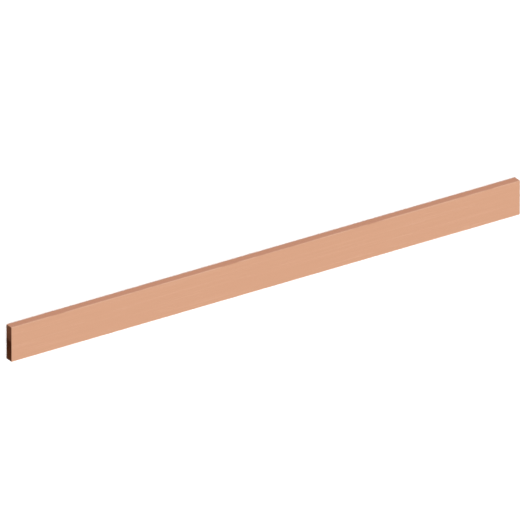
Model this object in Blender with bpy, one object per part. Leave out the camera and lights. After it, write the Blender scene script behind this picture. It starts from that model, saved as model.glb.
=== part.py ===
"""Copper busbar: a length of plain flat bar of drawn copper, 25 mm wide and 6 mm thick, cut to 400 mm.

Sizes are in metres. The bar lies flat on a level surface at Z = 0, with the origin at the middle of its
underside. +X runs along the bar, +Y across its width and +Z up through its thickness.
"""

import math

import bmesh
import bpy

# The stock: a drawn section with its four long edges rounded by the die.
LENGTH = 0.400
WIDTH = 0.025
THICKNESS = 0.006
EDGE_RADIUS = 0.0004
EDGE_STEPS = 5

# The cut ends: square to the length, with their sharp rim filed off at 45 degrees.
END_CHAMFER = 0.0002
CUT_FACE_RADIUS = 0.0002

# A corner is rounded at most this far into the stock that it has.
ROUNDEST_SHARE = 0.98

# Bright drawn copper that has begun to darken.
COPPER_COLOUR = (0.78, 0.42, 0.27, 1.0)
COPPER_ROUGHNESS = 0.38
COPPER_METALLIC = 1.0

# The four corners of the section, in the order that the outline passes them.
CORNERS = ((1, 1), (-1, 1), (-1, -1), (1, -1))
SMOOTH_UP_TO = math.radians(30.0)


def clear_scene():
    for obj in list(bpy.data.objects):
        bpy.data.objects.remove(obj, do_unlink=True)


def copper():
    material = bpy.data.materials.new("copper")
    material.use_nodes = True
    shader = material.node_tree.nodes["Principled BSDF"]
    shader.inputs["Base Color"].default_value = COPPER_COLOUR
    shader.inputs["Roughness"].default_value = COPPER_ROUGHNESS
    shader.inputs["Metallic"].default_value = COPPER_METALLIC
    return material


def section_points(width, thickness, radius):
    """A rounded rectangle, as (y, z) points that run anticlockwise as seen from +X."""
    radius = min(radius, ROUNDEST_SHARE * min(width, thickness) / 2)
    for quarter, (side, face) in enumerate(CORNERS):
        centre_y = side * (width / 2 - radius)
        centre_z = face * (thickness / 2 - radius)
        for step in range(EDGE_STEPS + 1):
            angle = math.radians(90.0) * (quarter + step / EDGE_STEPS)
            yield centre_y + radius * math.cos(angle), centre_z + radius * math.sin(angle)


def section_loop(bm, x, section):
    """Draws the section's outline at x, and returns its edges."""
    ring = [bm.verts.new((x, y, z)) for y, z in section_points(*section)]
    return [bm.edges.new(pair) for pair in zip(ring, ring[1:] + ring[:1])]


def busbar():
    """The bar: the drawn section between the ends' chamfers, and a smaller one at each cut face."""
    drawn = (WIDTH, THICKNESS, EDGE_RADIUS)
    cut_face = (WIDTH - 2 * END_CHAMFER, THICKNESS - 2 * END_CHAMFER, CUT_FACE_RADIUS)
    half = LENGTH / 2
    stations = (
        (-half, cut_face),
        (-half + END_CHAMFER, drawn),
        (half - END_CHAMFER, drawn),
        (half, cut_face),
    )
    bm = bmesh.new()
    loops = [section_loop(bm, x, section) for x, section in stations]
    for near, far in zip(loops, loops[1:]):
        bmesh.ops.bridge_loops(bm, edges=near + far)
    for cut_end in (loops[0], loops[-1]):
        bmesh.ops.contextual_create(bm, geom=cut_end)
    bmesh.ops.recalc_face_normals(bm, faces=bm.faces)
    mesh = bpy.data.meshes.new("busbar")
    bm.to_mesh(mesh)
    bm.free()
    mesh.shade_smooth()
    mesh.set_sharp_from_angle(angle=SMOOTH_UP_TO)
    mesh.materials.append(copper())
    bar = bpy.data.objects.new("busbar", mesh)
    bar.location.z = THICKNESS / 2
    bpy.context.scene.collection.objects.link(bar)
    return bar


clear_scene()
busbar()
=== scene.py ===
"""Looks of the copper busbar: one length of drawn flat bar, lying flat on a pale studio floor.

Everything is in metres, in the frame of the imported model: +X along the bar, +Y across it, +Z up.
"""

import math

import bmesh
import bpy
from mathutils import Matrix, Vector


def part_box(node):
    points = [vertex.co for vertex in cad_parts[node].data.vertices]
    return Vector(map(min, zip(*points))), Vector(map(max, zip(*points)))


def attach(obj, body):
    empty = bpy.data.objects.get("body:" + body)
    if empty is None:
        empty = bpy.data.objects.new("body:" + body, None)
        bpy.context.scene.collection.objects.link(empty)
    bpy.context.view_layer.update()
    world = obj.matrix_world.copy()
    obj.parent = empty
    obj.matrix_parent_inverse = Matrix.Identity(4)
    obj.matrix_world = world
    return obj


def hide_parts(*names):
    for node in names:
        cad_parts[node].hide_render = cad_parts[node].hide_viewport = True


QUARTER_TURN = math.radians(90.0)

# A pattern's values run from 0 to 1, on both sides of this one.
PATTERN_MIDDLE = 0.5

# The bar's edges and ends, as the part has them. Its length, width and thickness come from the frame.
EDGE_RADIUS = 0.0004
END_CHAMFER = 0.0002
CUT_FACE_RADIUS = 0.0002

# How finely the mesh is divided: round each long edge, across and down a cut face, and along the bar. The
# corners are the section's, in the order in which its outline passes them.
ARC_STEPS = 6
CUT_COLUMNS = 28
CUT_ROWS = 72
STATIONS = 41
CORNERS = ((1, 1), (-1, 1), (-1, -1), (1, -1))
SMOOTH_UP_TO = math.radians(30.0)

# The saw's marks on the cut faces: shallow arcs, as a round blade leaves them. MARK_CHANGES is how often
# their depth changes from one mark to the next, and MARK_SEED makes the two ends differ.
BLADE_CENTRE_Y = 0.004
BLADE_CENTRE_Z = 0.110
MARK_PITCH = 0.00045
MARK_DEPTH = 0.00004
MARK_CHANGES = 0.9
MARK_SEED = 7.0
SAW_INPUTS = {
    "Blade centre Y": BLADE_CENTRE_Y,
    "Blade centre Z": BLADE_CENTRE_Z,
    "Mark pitch": MARK_PITCH,
    "Mark depth": MARK_DEPTH,
    "Seed": MARK_SEED,
}

# What counts as a cut face: the points marked as one, and a face that looks this squarely along the bar.
MARKED_ABOVE = 0.5
FACING_ABOVE = 0.9

# The drawn skin's patterns, as grains to the metre along the bar, across it and up through it. The tarnish is
# swirled, and some hairlines lean this far from the bar's length.
FINE_GRAINS = (9.0, 7000.0, 7000.0)
STREAK_GRAINS = (1.6, 420.0, 420.0)
SCORE_GRAINS = (7.0, 1500.0, 1500.0)
TARNISH_GRAINS = (16.0, 42.0, 42.0)
RUBBED_GRAINS = (70.0, 300.0, 300.0)
LEANING_GRAINS = (22.0, 3000.0, 3000.0)
STRAIGHT_GRAINS = (9.0, 5200.0, 5200.0)
TARNISH_SWIRL = 0.6
HAIRLINE_TURN = math.radians(2.5)

# The values of each pattern at which it starts to show and shows in full.
FINE_SHOWS = (0.32, 0.68)
SCORE_SHOWS = (0.66, 0.74)
RUBBED_SHOWS = (0.34, 0.60)
LEANING_SHOWS = (0.69, 0.74)
STRAIGHT_SHOWS = (0.67, 0.72)
PALE_SHOWS = (0.2, 0.8)

# How much the fine lines count beside the streaks, the tarnish beside both, and the scores on top.
FINE_SHARE = 0.6
TARNISH_SHARE = 0.25
SCORE_SHARE = 0.2

# How far in from a side, a wide face or an end the sides' painted shade, the rubbed edges with their painted
# highlight and the tarnished rims start to show, and how far in they show in full.
SIDE_SHADE_BAND = (EDGE_RADIUS / 4, 0.0)
RUBBED_BAND = (2 * EDGE_RADIUS, EDGE_RADIUS / 2)
RIM_BAND = (END_CHAMFER, END_CHAMFER / 2)

# The drawn skin's roughness from deep to pale copper, how much smoother its bright places are, its relief.
SKIN_ROUGHNESS = (0.28, 0.44)
BRIGHT_POLISH = 0.08
SKIN_RELIEF = 0.000006

# Scratches that show bright copper on the cut faces: the saw teeth's along the arcs, with breaks in them, and
# a file's straight strokes across them, in patches.
TEETH_PER_MARK = 5.0
TEETH_SHOW = (0.56, 0.62)
BREAK_GRAINS = (320.0, 320.0, 320.0)
BREAKS_SHOW = (0.36, 0.56)
FILE_ANGLE = math.radians(38.0)
FILE_PITCH = 0.00016
STROKES_SHOW = (0.62, 0.68)
PATCHES_SHOW = (0.46, 0.60)

# The painted shade on the cut faces, darker on one side: where that darker side ends across the bar, how its
# edge leans, how soft and wavy the edge is, and how much brighter the copper gets with each metre away from
# that edge.
# Painted shade: the darker side of the cut faces and its edge.
SHADE_EDGE = 0.0026
SHADE_SLOPE = 0.1
SHADE_SOFTNESS = 0.0003
SHADE_WOBBLE = 0.003
SHADE_FADE = 50.0

# The cut faces' grain and clouds, how much the arcs' crests count beside the grain, and how brightness and
# roughness follow the two. Scratches show this much on the painted shade's darker side and on its lighter
# side, and are smoother. The reliefs are of the grain and of the scratches.
CUT_GRAINS = (900.0, 900.0, 900.0)
CLOUD_GRAINS = (260.0, 260.0, 260.0)
CREST_SHARE = 0.3
CUT_BRIGHTNESS = (0.7, 1.3)
CUT_ROUGHNESS = (0.6, 0.46)
SCRATCH_SHARES = (0.3, 0.45)
SCRATCH_POLISH = 0.2
CUT_RELIEF = 0.00001
SCRATCH_RELIEF = 0.00002

# The drawn skin's colours: the wide faces from deep to pale, the painted shade that tints them darker on the
# narrow sides, and rubbed edges brightened as a painted highlight, hairline scratches and tarnished rims with
# the share of each that shows. The sheen is the tint that it mirrors at a slant.
FACE_DEEP = (0.7044, 0.3816, 0.2432)
FACE_PALE = (0.7476, 0.4104, 0.2648)
# Painted shade: the narrow sides' colour is tinted darker than the wide faces'.
SIDE_PAINTED_SHADE = (1.04, 0.90, 0.93)
# Rubbed wear on the long edges, brightened further as a painted highlight along them.
RUBBED_WITH_HIGHLIGHT = (0.88, 0.54, 0.38)
RUBBED_HIGHLIGHT_SHARE = 0.7
HAIRLINE = (0.93, 0.62, 0.46)
HAIRLINE_SHARE = 0.32
RIM_BROWN = (0.300, 0.140, 0.090)
RIM_SHARE = 0.6
SKIN_SHEEN = (0.996, 0.957, 0.823, 1.0)

# The cut faces' colours: the painted shade's lighter and darker brown, scratches, and the tint they mirror at
# a slant.
# Painted shade: the cut faces are darkened to brown, more on one side.
CUT_PALE = (0.149, 0.070, 0.043)
CUT_DARK = (0.069, 0.0285, 0.0138)
CUT_SCRATCH = (0.54, 0.26, 0.17)
CUT_SHEEN = (0.43, 0.21, 0.13, 1.0)

# The view: the bar turned and tilted, seen from so far off that its far end looks as large as its near one,
# and a little to the right of the picture's middle and below it. The camera sees as far as four times its
# own distance from the bar.
VIEW_TURN = math.radians(33.75)
VIEW_TILT = math.radians(25.84)
VIEW_ROLL = math.radians(-0.09)
PHOTO_PIXELS = 525
PIXELS_PER_METRE = 1528.3
BAR_RIGHT_PIXELS = 2.5
BAR_DOWN_PIXELS = 6.5
LENS = 1500.0
SENSOR = 36.0
CLIP_DISTANCES = 4

# The studio: a pale floor just under the bar, light from all round that is white to the camera, a softbox for
# the wide face and an overhead lamp for the floor.
FLOOR_SIZE = 60.0
FLOOR_DROP = 0.00002
FLOOR_GREY = 0.86
LIGHT_BELOW = 0.75
HORIZON_LIGHT = 0.90
ZENITH_LIGHT = 0.80
HORIZON_BAND = 0.1
KEY_DISTANCE = 2.8
KEY_SIZE = 2.6
KEY_RADIANCE = 0.191
OVERHEAD_LIGHT = 2.2
OVERHEAD_SPREAD = math.radians(20.0)


class Graph:
    """Short ways to add nodes to one node tree."""

    def __init__(self, tree):
        self.tree = tree

    def feed(self, socket, value):
        if isinstance(value, bpy.types.NodeSocket):
            self.tree.links.new(value, socket)
        else:
            socket.default_value = value

    def add(self, kind, inputs=None, **settings):
        node = self.tree.nodes.new(kind)
        for name, value in settings.items():
            setattr(node, name, value)
        for socket, value in (inputs or {}).items():
            self.feed(node.inputs[socket], value)
        return node

    def axes(self, vector):
        """The vector's three parts."""
        return self.add("ShaderNodeSeparateXYZ", {0: vector}).outputs

    def math(self, operation, *values):
        return self.add("ShaderNodeMath", dict(enumerate(values)), operation=operation).outputs[0]

    def times(self, first, second):
        return self.math("MULTIPLY", first, second)

    def mix(self, first, second, share):
        """This share of the first pattern, and the second for the rest."""
        return self.math("ADD", self.times(first, share), self.times(second, 1.0 - share))

    def ramp(self, value, low, high):
        """0 where value is at low, 1 where it is at high, smooth between them."""
        inputs = {"Value": value, "From Min": low, "From Max": high}
        node = self.add("ShaderNodeMapRange", inputs, interpolation_type="SMOOTHSTEP", clamp=True)
        return node.outputs["Result"]

    def near(self, value, limit, band):
        """0 where value is the band's first measure short of its limit, 1 where it is the second short."""
        return self.ramp(value, limit - band[0], limit - band[1])

    def span(self, value, low, high, start=0.0, end=1.0):
        """Turns a value that runs from start to end into one that runs from low to high."""
        inputs = {"Value": value, "From Min": start, "From Max": end, "To Min": low, "To Max": high}
        return self.add("ShaderNodeMapRange", inputs, clamp=True).outputs["Result"]

    def blend(self, share, first, second, kind="MIX"):
        """The first colour with this share of the second blended over it."""
        node = self.add("ShaderNodeMix", data_type="RGBA", blend_type=kind, clamp_factor=True)
        for socket, value in (("Factor_Float", share), ("A_Color", first), ("B_Color", second)):
            held = next(s for s in node.inputs if s.identifier == socket)
            self.feed(held, (*value, 1.0) if isinstance(value, tuple) else value)
        return next(s for s in node.outputs if s.identifier == "Result_Color")

    def noise(self, place, grains, detail=2.0, swirl=0.0, turn=0.0):
        """A pattern from 0 to 1 with so many grains to the metre on each axis, turned this far about Z."""
        if turn:
            turned = self.add("ShaderNodeMapping", {"Vector": place, "Rotation": (0.0, 0.0, turn)})
            place = turned.outputs["Vector"]
        stretched = self.add("ShaderNodeMapping", {"Vector": place, "Scale": grains}).outputs["Vector"]
        inputs = {"Vector": stretched, "Scale": 1.0, "Detail": detail, "Distortion": swirl}
        return self.add("ShaderNodeTexNoise", inputs).outputs["Fac"]

    def stripes(self, measure, grains=1.0, detail=2.0):
        """A pattern from 0 to 1 that changes with one measure, with so many grains to each unit of it."""
        inputs = {"W": measure, "Scale": grains, "Detail": detail}
        return self.add("ShaderNodeTexNoise", inputs, noise_dimensions="1D").outputs[0]

    def blade_turns(self, y, z, centre_y, centre_z, pitch):
        """How many saw marks lie between the blade's centre and the point."""
        across = self.math("SUBTRACT", y, centre_y)
        below = self.math("SUBTRACT", z, centre_z)
        square = self.math("ADD", self.times(across, across), self.times(below, below))
        return self.math("DIVIDE", self.math("SQRT", square), pitch)

    def wave(self, turns):
        """From -1 to 1 and back with each saw mark."""
        return self.math("SINE", self.times(turns, math.tau))

    def emboss(self, shader, height):
        """Relief of this height, in metres, too fine for the mesh."""
        bump = self.add("ShaderNodeBump", {"Height": height, "Strength": 1.0, "Distance": 1.0})
        self.feed(shader.inputs["Normal"], bump.outputs["Normal"])


def section_ring(width, thickness, radius):
    """A rounded rectangle, as (y, z) points that run anticlockwise as seen from +X."""
    half_y = width / 2 - radius
    half_z = thickness / 2 - radius
    flats = (CUT_COLUMNS, CUT_ROWS)
    points = []
    for quarter, (side, face) in enumerate(CORNERS):
        centre = Vector((side * half_y, face * half_z))
        for step in range(ARC_STEPS):
            angle = QUARTER_TURN * (quarter + step / ARC_STEPS)
            points.append(centre + radius * Vector((math.cos(angle), math.sin(angle))))
        angle = QUARTER_TURN * (quarter + 1)
        outward = radius * Vector((math.cos(angle), math.sin(angle)))
        after = Vector(CORNERS[(quarter + 1) % len(CORNERS)])
        target = Vector((after.x * half_y, after.y * half_z))
        count = flats[quarter % 2]
        points.extend(centre.lerp(target, step / count) + outward for step in range(count))
    return points


def cut_grid(width, thickness, radius):
    """The inner part of a cut face, as rows of (y, z) points between the centres of its corners."""
    half_y = width / 2 - radius
    half_z = thickness / 2 - radius
    columns = [half_y * (1 - 2 * i / CUT_COLUMNS) for i in range(CUT_COLUMNS + 1)]
    rows = [half_z * (1 - 2 * j / CUT_ROWS) for j in range(CUT_ROWS + 1)]
    return [[Vector((y, z)) for y in columns] for z in rows]


def fill_cut_face(bm, ring, grid):
    """Closes one end: the grid, a strip from it to each flat of the ring, and a fan at each corner."""
    for upper, lower in zip(grid, grid[1:]):
        for i in range(CUT_COLUMNS):
            bm.faces.new((upper[i], upper[i + 1], lower[i + 1], lower[i]))
    borders = (
        grid[0],
        [row[-1] for row in grid],
        grid[-1][::-1],
        [row[0] for row in grid][::-1],
    )
    start = 0
    for border in borders:
        for step in range(ARC_STEPS):
            bm.faces.new((border[0], ring[start + step], ring[start + step + 1]))
        start += ARC_STEPS
        for step in range(len(border) - 1):
            after = (start + step + 1) % len(ring)
            bm.faces.new((border[step], ring[start + step], ring[after], border[step + 1]))
        start += len(border) - 1


def bar_mesh(length, width, thickness):
    """The bar as one closed mesh: its drawn skin, the filed rims and a fine grid on each cut face."""
    bm = bmesh.new()
    cut_layer = bm.verts.layers.float.new("cut_face")
    middle = thickness / 2
    cut = (width - 2 * END_CHAMFER, thickness - 2 * END_CHAMFER, CUT_FACE_RADIUS)
    drawn = (width, thickness, EDGE_RADIUS)
    skin = length / 2 - END_CHAMFER
    places = [(-length / 2, cut)]
    places += [(skin * (2 * i / (STATIONS - 1) - 1), drawn) for i in range(STATIONS)]
    places += [(length / 2, cut)]
    rings = [[bm.verts.new((x, y, z + middle)) for y, z in section_ring(*section)] for x, section in places]
    for near, far in zip(rings, rings[1:]):
        for i, corner in enumerate(near):
            after = (i + 1) % len(near)
            bm.faces.new((corner, near[after], far[after], far[i]))
    for ring, x in ((rings[0], -length / 2), (rings[-1], length / 2)):
        grid = [[bm.verts.new((x, y, z + middle)) for y, z in row] for row in cut_grid(*cut)]
        for vert in (v for row in grid for v in row):
            vert[cut_layer] = 1.0
        fill_cut_face(bm, ring, grid)
    bmesh.ops.recalc_face_normals(bm, faces=bm.faces)
    mesh = bpy.data.meshes.new("bar")
    bm.to_mesh(mesh)
    bm.free()
    return mesh


def saw_mark_tree(drawn, sawn):
    """Geometry nodes that press the saw's arcs into the cut faces, never past the face's own plane."""
    tree = bpy.data.node_groups.new("saw_marks", "GeometryNodeTree")
    ports = tree.interface
    ports.new_socket("Geometry", in_out="INPUT", socket_type="NodeSocketGeometry")
    for name in SAW_INPUTS:
        ports.new_socket(name, in_out="INPUT", socket_type="NodeSocketFloat")
    ports.new_socket("Geometry", in_out="OUTPUT", socket_type="NodeSocketGeometry")
    g = Graph(tree)
    given = g.add("NodeGroupInput").outputs
    along, across, up = g.axes(g.add("GeometryNodeInputPosition").outputs[0])
    which_end = g.math("SIGN", along)

    blade = (given["Blade centre Y"], given["Blade centre Z"], given["Mark pitch"])
    turns = g.blade_turns(across, up, *blade)
    end_turns = g.math("ADD", turns, g.times(which_end, given["Seed"]))
    uneven = g.stripes(end_turns, MARK_CHANGES, detail=3.0)
    mark = g.times(g.ramp(g.wave(turns), -1.0, 1.0), uneven)
    depth = g.times(g.times(mark, given["Mark depth"]), which_end)
    offset = g.add("ShaderNodeCombineXYZ", {"X": g.times(depth, -1.0)}).outputs[0]

    marked = g.add("GeometryNodeInputNamedAttribute", {"Name": "cut_face"}, data_type="FLOAT")
    chosen = g.math("GREATER_THAN", marked.outputs["Attribute"], MARKED_ABOVE)
    pressing = {"Geometry": given["Geometry"], "Selection": chosen, "Offset": offset}
    pressed = g.add("GeometryNodeSetPosition", pressing)
    whole = g.add("GeometryNodeRealizeInstances", {0: pressed.outputs[0]})

    facing = g.axes(g.add("GeometryNodeInputNormal").outputs[0])[0]
    ends = g.math("GREATER_THAN", g.math("ABSOLUTE", facing), FACING_ABOVE)
    skin = g.add("GeometryNodeSetMaterial", {"Geometry": whole.outputs[0], "Material": drawn})
    dressing = {"Geometry": skin.outputs[0], "Selection": ends, "Material": sawn}
    dressed = g.add("GeometryNodeSetMaterial", dressing)
    g.add("NodeGroupOutput", {0: dressed.outputs[0]})
    return tree


def with_tree(obj, tree, values):
    """obj's mesh after the geometry nodes with these input values, as a plain mesh."""
    modifier = obj.modifiers.new(tree.name, "NODES")
    modifier.node_group = tree
    sockets = {item.name: item.identifier for item in tree.interface.items_tree if item.in_out == "INPUT"}
    for name, value in values.items():
        modifier[sockets[name]] = value
    graph = bpy.context.evaluated_depsgraph_get()
    mesh = bpy.data.meshes.new_from_object(obj.evaluated_get(graph))
    obj.modifiers.remove(modifier)
    return mesh


def new_material(name):
    """A material, with its graph and its shader."""
    material = bpy.data.materials.new(name)
    material.use_nodes = True
    return material, Graph(material.node_tree), material.node_tree.nodes["Principled BSDF"]


def copper_material(length, width, thickness):
    """Drawn copper, dulled a little, with lines and hairlines along the bar, painted shade on the narrow
    sides, rubbed edges with a painted highlight and brown rims.
    """
    material, g, shader = new_material("drawn_copper")
    place = g.add("ShaderNodeTexCoord").outputs["Object"]
    x, y, z = g.axes(place)
    across = g.math("ABSOLUTE", y)
    from_middle = g.math("ABSOLUTE", g.math("SUBTRACT", z, thickness / 2))

    fine = g.ramp(g.noise(place, FINE_GRAINS, detail=3.0), *FINE_SHOWS)
    streaks = g.noise(place, STREAK_GRAINS)
    tarnish = g.noise(place, TARNISH_GRAINS, detail=3.0, swirl=TARNISH_SWIRL)
    scores = g.ramp(g.noise(place, SCORE_GRAINS, detail=1.0), *SCORE_SHOWS)
    lines = g.mix(fine, streaks, FINE_SHARE)
    tone = g.mix(tarnish, lines, TARNISH_SHARE)
    tone = g.math("SUBTRACT", tone, g.times(scores, SCORE_SHARE))
    face = g.blend(g.ramp(tone, *PALE_SHOWS), FACE_DEEP, FACE_PALE)
    # Painted shade: the narrow sides' flats take a darker tint of the face colour.
    side = g.blend(1.0, face, SIDE_PAINTED_SHADE, kind="MULTIPLY")
    faces = g.blend(g.near(across, width / 2, SIDE_SHADE_BAND), face, side)

    leaning = g.noise(place, LEANING_GRAINS, detail=1.0, turn=HAIRLINE_TURN)
    straight = g.noise(place, STRAIGHT_GRAINS, detail=1.0)
    hairlines = g.math("MAXIMUM", g.ramp(leaning, *LEANING_SHOWS), g.ramp(straight, *STRAIGHT_SHOWS))
    scratched = g.blend(g.times(hairlines, HAIRLINE_SHARE), faces, HAIRLINE)

    # Patchy rubbed wear on the long edges, brightened as a painted highlight; these places are also smoother.
    near_side = g.near(across, width / 2, RUBBED_BAND)
    near_face = g.near(from_middle, thickness / 2, RUBBED_BAND)
    patchy = g.ramp(g.noise(place, RUBBED_GRAINS, detail=4.0), *RUBBED_SHOWS)
    rubbed = g.times(g.times(near_side, near_face), patchy)
    worn = g.blend(g.times(rubbed, RUBBED_HIGHLIGHT_SHARE), scratched, RUBBED_WITH_HIGHLIGHT)

    rim = g.near(g.math("ABSOLUTE", x), length / 2, RIM_BAND)
    g.feed(shader.inputs["Base Color"], g.blend(g.times(rim, RIM_SHARE), worn, RIM_BROWN))
    polish = g.times(g.math("MAXIMUM", rubbed, hairlines), BRIGHT_POLISH)
    g.feed(shader.inputs["Roughness"], g.math("SUBTRACT", g.span(tone, *SKIN_ROUGHNESS), polish))
    shader.inputs["Metallic"].default_value = 1.0
    shader.inputs["Specular Tint"].default_value = SKIN_SHEEN
    g.emboss(shader, g.times(g.math("SUBTRACT", lines, scores), SKIN_RELIEF))
    return material


def sawn_material():
    """The cut faces: brown copper darkened as painted shade, more so on one side, with bright scratches of
    saw and file.
    """
    material, g, shader = new_material("sawn_copper")
    place = g.add("ShaderNodeTexCoord").outputs["Object"]
    _, y, z = g.axes(place)
    grain = g.noise(place, CUT_GRAINS, detail=4.0)
    cloud = g.noise(place, CLOUD_GRAINS, detail=4.0)

    turns = g.blade_turns(y, z, BLADE_CENTRE_Y, BLADE_CENTRE_Z, MARK_PITCH)
    crest = g.ramp(g.wave(turns), 1.0, -1.0)
    teeth = g.stripes(turns, TEETH_PER_MARK, detail=3.0)
    breaks = g.noise(place, BREAK_GRAINS)
    arcs = g.times(g.ramp(teeth, *TEETH_SHOW), g.ramp(breaks, *BREAKS_SHOW))

    sideways = g.times(y, math.sin(FILE_ANGLE) / FILE_PITCH)
    upwards = g.times(z, math.cos(FILE_ANGLE) / FILE_PITCH)
    filed = g.stripes(g.math("ADD", sideways, upwards))
    strokes = g.times(g.ramp(filed, *STROKES_SHOW), g.ramp(cloud, *PATCHES_SHOW))
    scratches = g.math("MAXIMUM", arcs, strokes)

    # Painted shade: a soft, wavy, leaning edge between the cut face's darker and lighter side, brightening
    # away from it.
    slope = g.math("ADD", y, g.times(z, SHADE_SLOPE))
    wobble = g.times(g.math("SUBTRACT", cloud, PATTERN_MIDDLE), SHADE_WOBBLE)
    edge = g.math("ADD", slope, wobble)
    less_shaded = g.ramp(edge, SHADE_EDGE - SHADE_SOFTNESS, SHADE_EDGE + SHADE_SOFTNESS)
    brightening = g.times(g.math("ABSOLUTE", g.math("SUBTRACT", edge, SHADE_EDGE)), SHADE_FADE)

    tone = g.mix(crest, grain, CREST_SHARE)
    bright = g.times(g.span(tone, *CUT_BRIGHTNESS), g.math("ADD", brightening, 1.0))
    # Painted shade: the cut faces' brown, darker on one side.
    brown = g.blend(1.0, g.blend(less_shaded, CUT_DARK, CUT_PALE), bright, kind="MULTIPLY")
    shown = g.times(scratches, g.span(less_shaded, *SCRATCH_SHARES))
    g.feed(shader.inputs["Base Color"], g.blend(shown, brown, CUT_SCRATCH))
    polish = g.times(scratches, SCRATCH_POLISH)
    g.feed(shader.inputs["Roughness"], g.math("SUBTRACT", g.span(tone, *CUT_ROUGHNESS), polish))
    shader.inputs["Metallic"].default_value = 1.0
    shader.inputs["Specular Tint"].default_value = CUT_SHEEN
    g.emboss(shader, g.math("SUBTRACT", g.times(grain, CUT_RELIEF), g.times(scratches, SCRATCH_RELIEF)))
    return material


def build_bar():
    """The bar's looks, in place of the plain solid."""
    low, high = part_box("busbar")
    length, width, thickness = high - low
    tree = saw_mark_tree(copper_material(length, width, thickness), sawn_material())
    bar = bpy.data.objects.new("bar", bar_mesh(length, width, thickness))
    bpy.context.scene.collection.objects.link(bar)
    bar.data = with_tree(bar, tree, SAW_INPUTS)
    bar.data.shade_smooth()
    bar.data.set_sharp_from_angle(angle=SMOOTH_UP_TO)
    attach(bar, "root")
    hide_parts("busbar")


def build_camera():
    """A long lens, far off, that sees the bar as the photograph does. Gives the way from the bar to it."""
    turn, tilt = VIEW_TURN, VIEW_TILT
    right = Vector((math.cos(turn), 0.0, math.sin(turn)))
    up = Vector((math.sin(turn) * math.sin(tilt), math.cos(tilt), -math.cos(turn) * math.sin(tilt)))
    rolled_right = math.cos(VIEW_ROLL) * right - math.sin(VIEW_ROLL) * up
    rolled_up = math.sin(VIEW_ROLL) * right + math.cos(VIEW_ROLL) * up
    back = rolled_right.cross(rolled_up)
    low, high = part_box("busbar")
    shift = rolled_up * BAR_DOWN_PIXELS - rolled_right * BAR_RIGHT_PIXELS
    aim = (low + high) / 2 + shift / PIXELS_PER_METRE
    distance = PHOTO_PIXELS / PIXELS_PER_METRE * LENS / SENSOR
    data = bpy.data.cameras.new("camera")
    data.lens = LENS
    data.sensor_width = SENSOR
    data.clip_end = CLIP_DISTANCES * distance
    camera = bpy.data.objects.new("camera", data)
    turned = Matrix((rolled_right, rolled_up, back)).transposed().to_4x4()
    camera.matrix_world = Matrix.Translation(aim + back * distance) @ turned
    bpy.context.scene.collection.objects.link(camera)
    bpy.context.scene.camera = camera
    return back


def build_floor():
    """A wide pale floor that the copper doesn't mirror."""
    mesh = bpy.data.meshes.new("floor")
    bm = bmesh.new()
    bmesh.ops.create_grid(bm, x_segments=1, y_segments=1, size=FLOOR_SIZE / 2)
    bm.to_mesh(mesh)
    bm.free()
    floor = bpy.data.objects.new("floor", mesh)
    floor.location.z = -FLOOR_DROP
    material, _, shader = new_material("pale_floor")
    shader.inputs["Base Color"].default_value = (FLOOR_GREY, FLOOR_GREY, FLOOR_GREY, 1.0)
    shader.inputs["Roughness"].default_value = 1.0
    shader.inputs["Specular IOR Level"].default_value = 0.0
    mesh.materials.append(material)
    floor.visible_glossy = False
    bpy.context.scene.collection.objects.link(floor)


def build_world():
    """Light from all round, a little brighter at the horizon, and plain white where the camera sees it."""
    world = bpy.data.worlds.new("studio")
    world.use_nodes = True
    g = Graph(world.node_tree)
    height = g.axes(g.add("ShaderNodeTexCoord").outputs["Generated"])[2]
    above = g.span(height, HORIZON_LIGHT, ZENITH_LIGHT)
    below = g.span(height, LIGHT_BELOW, HORIZON_LIGHT, start=-HORIZON_BAND, end=0.0)
    seen = g.add("ShaderNodeLightPath").outputs["Is Camera Ray"]
    background = world.node_tree.nodes["Background"].inputs
    g.feed(background["Color"], (1.0, 1.0, 1.0, 1.0))
    g.feed(background["Strength"], g.math("MAXIMUM", g.math("MINIMUM", above, below), seen))
    bpy.context.scene.world = world


def build_softbox(place):
    """A square light at place that faces the bar."""
    data = bpy.data.lights.new("key_softbox", "AREA")
    data.shape = "SQUARE"
    data.size = KEY_SIZE
    data.energy = KEY_RADIANCE * math.pi * KEY_SIZE**2
    light = bpy.data.objects.new("key_softbox", data)
    light.location = place
    light.rotation_euler = place.to_track_quat("Z", "Y").to_euler()
    bpy.context.scene.collection.objects.link(light)


def build_overhead():
    """A lamp straight above that whitens the floor, and that the copper doesn't mirror."""
    data = bpy.data.lights.new("overhead", "SUN")
    data.energy = OVERHEAD_LIGHT
    data.angle = OVERHEAD_SPREAD
    lamp = bpy.data.objects.new("overhead", data)
    lamp.visible_glossy = False
    bpy.context.scene.collection.objects.link(lamp)


def build_studio(towards_camera):
    """The light, with the softbox where the wide face mirrors it to the camera."""
    build_world()
    mirrored = Vector((-towards_camera.x, -towards_camera.y, towards_camera.z))
    build_softbox(mirrored * KEY_DISTANCE)
    build_overhead()
    bpy.context.scene.view_settings.view_transform = "Standard"


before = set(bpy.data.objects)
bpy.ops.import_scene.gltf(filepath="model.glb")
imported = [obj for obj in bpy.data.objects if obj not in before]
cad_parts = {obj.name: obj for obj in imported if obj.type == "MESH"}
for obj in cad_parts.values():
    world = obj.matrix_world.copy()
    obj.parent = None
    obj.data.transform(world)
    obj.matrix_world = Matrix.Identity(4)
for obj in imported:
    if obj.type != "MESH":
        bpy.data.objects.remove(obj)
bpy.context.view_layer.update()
towards_camera = build_camera()
build_bar()
build_floor()
build_studio(towards_camera)
